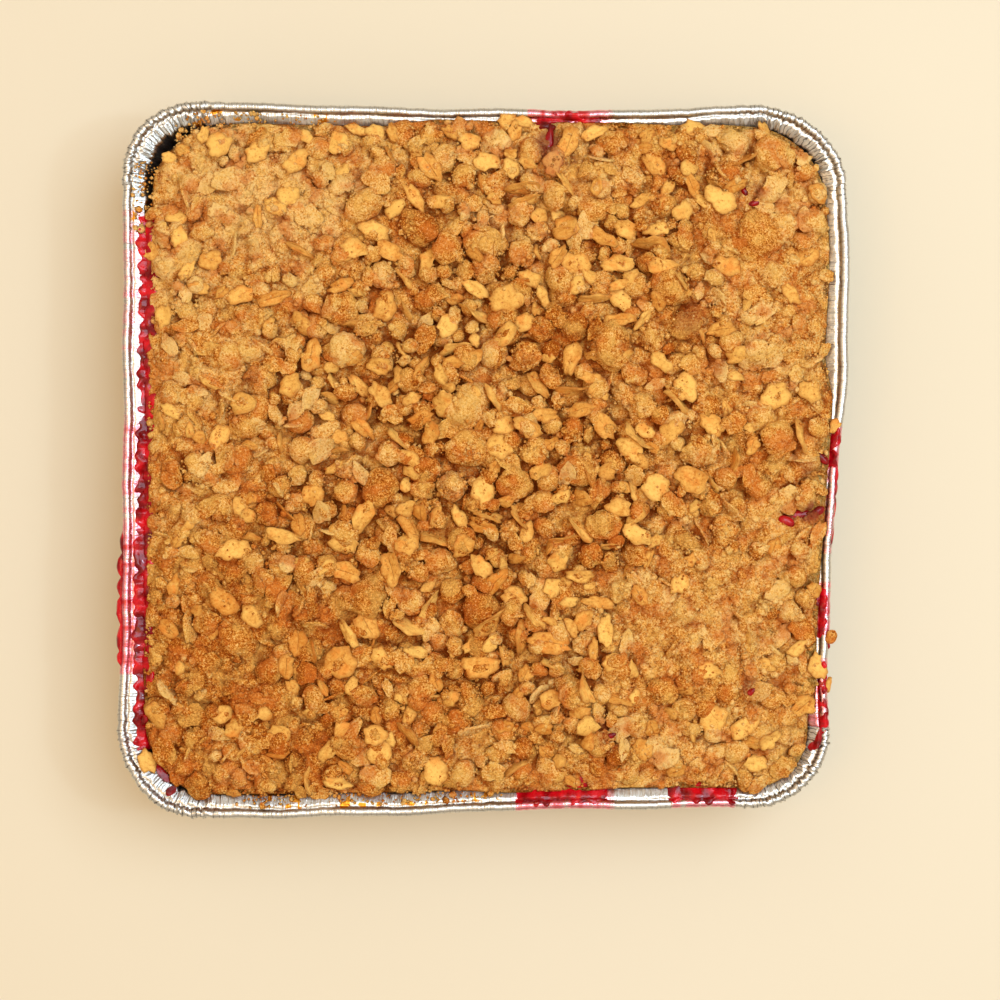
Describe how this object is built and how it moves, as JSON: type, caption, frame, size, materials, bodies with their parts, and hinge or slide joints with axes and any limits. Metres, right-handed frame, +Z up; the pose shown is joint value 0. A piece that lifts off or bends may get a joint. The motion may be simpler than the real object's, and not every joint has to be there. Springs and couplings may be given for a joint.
{
  "type": "cherry crumb pie",
  "caption": "Square cherry pie with a domed oat crumb topping, in its own thin foil tray with a rolled rim and gathered corners; juice shows at the edges.",
  "frame": {"origin": "on the resting plane, under the middle of the tray's outline", "axes": "+Z up out of the pie; +X along the slightly longer side of the tray, to the right when the side with most juice is on the left; +Y to the back"},
  "size_m": [0.206, 0.2026, 0.0517],
  "materials": {
    "tray_foil": "bright thin foil, creased by hand, stained pink by juice at the rim",
    "cherry_filling": "glossy, translucent deep red cherry jelly and fruit",
    "crumb_topping": "matte, sandy, golden brown baked crumb with paler oat flakes"
  },
  "bodies": {
    "root": {"foil_tray": "tray_foil", "cherry_filling": "cherry_filling", "crumb_topping": "crumb_topping"}
  },
  "joints": []
}
